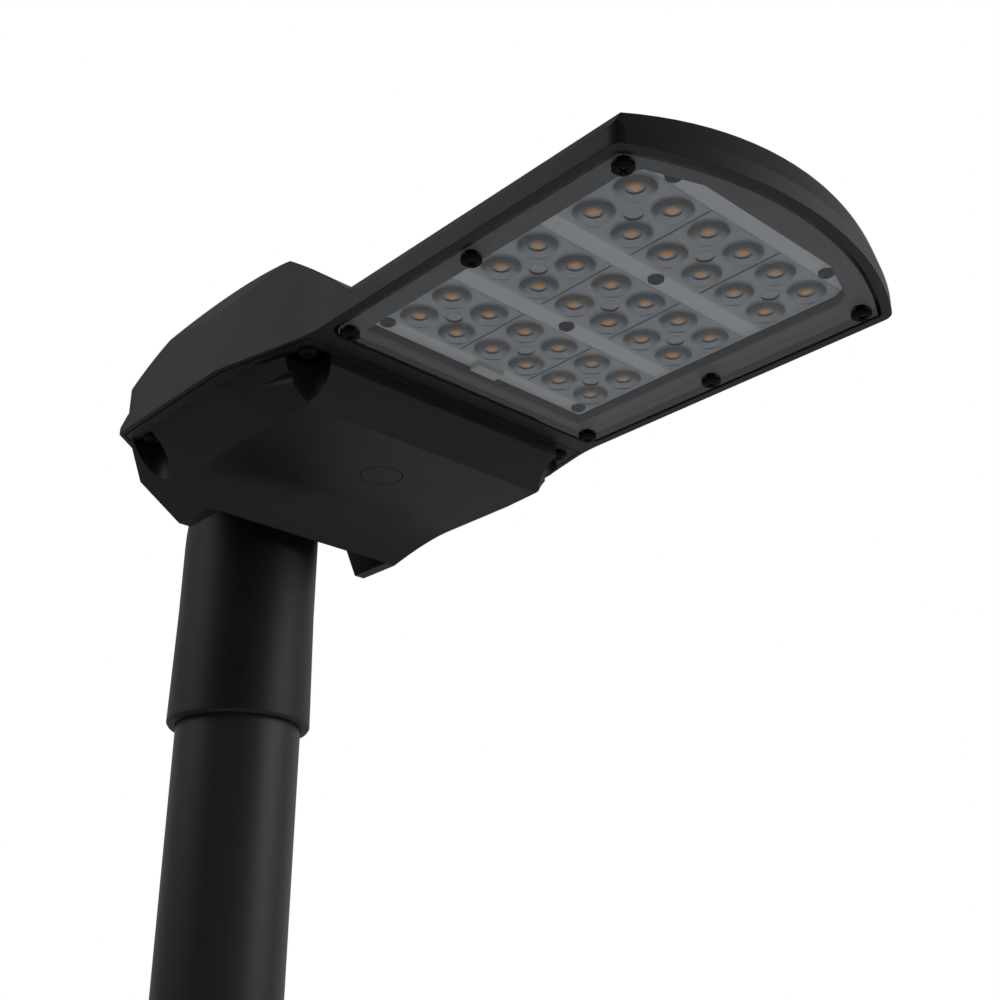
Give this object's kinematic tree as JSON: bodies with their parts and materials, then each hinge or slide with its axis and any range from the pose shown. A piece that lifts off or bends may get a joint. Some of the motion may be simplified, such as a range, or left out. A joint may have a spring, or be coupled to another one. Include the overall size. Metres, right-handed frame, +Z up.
{
  "type": "post-top street light head",
  "caption": "Post-top LED street light: dark die-cast head with a faceted gear housing and a clear-covered lens panel, tilting on a spigot that sleeves a round pole top",
  "frame": {"origin": "centre of the pole's cut lower end", "axes": "+Z up along the pole, -Y towards the nose of the head, +X across the head"},
  "size_m": [0.234, 0.4931, 0.4278],
  "materials": {
    "pole_paint": "satin paint",
    "body_paint": "die-cast, fine-textured dark grey powder coat",
    "bolt_steel": "zinc plated",
    "black_screw": "black coated",
    "cover_glass": "clear",
    "seal_rubber": "matte",
    "sheet_grey": "light grey, matte",
    "pad_silicone": "matte",
    "board_white": "white solder resist",
    "chip_phosphor": "phosphor",
    "lens_acrylic": "clear moulded",
    "screw_steel": "plain",
    "socket_plastic": "matte",
    "plug_plastic": "matte",
    "plate_steel": "zinc plated",
    "driver_case": "satin",
    "dark_plastic": "matte",
    "earth_brass": "plain"
  },
  "bodies": {
    "post": {"pole": "pole_paint", "spigot": "body_paint", "clamp_screws": "bolt_steel", "lock_bolt": "bolt_steel", "lock_nut": "bolt_steel"},
    "head": {"pivot_bolt": "bolt_steel", "pivot_nut": "bolt_steel", "housing": "body_paint", "clear_cover": "cover_glass", "cover_gasket": "sheet_grey", "cover_screws": "black_screw", "thermal_pad": "pad_silicone", "led_board": "board_white", "led_chips": "chip_phosphor", "lens_module_1": "lens_acrylic", "lens_module_2": "lens_acrylic", "lens_module_3": "lens_acrylic", "lens_module_4": "lens_acrylic", "lens_module_5": "lens_acrylic", "lens_module_6": "lens_acrylic", "lens_module_7": "lens_acrylic", "lens_module_8": "lens_acrylic", "lens_module_9": "lens_acrylic", "board_screws": "screw_steel", "board_socket": "socket_plastic", "wire_grommet": "seal_rubber", "gear_tray": "body_paint", "tray_gasket": "seal_rubber", "tray_screws": "black_screw", "blanking_plug": "body_paint", "gear_plate": "plate_steel", "plate_screws": "bolt_steel", "driver": "driver_case", "surge_protector": "dark_plastic", "terminal_block": "socket_plastic", "cord_clamp": "socket_plastic", "cable_gland": "plug_plastic", "breather_valve": "plug_plastic", "earth_screw": "earth_brass"}
  },
  "joints": [
    {"name": "head_tilt", "type": "hinge", "parent": "post", "child": "head", "pos_m": [0, -0.014, 0.351], "axis": [-1, 0, 0], "range_deg": [0, 15]}
  ]
}
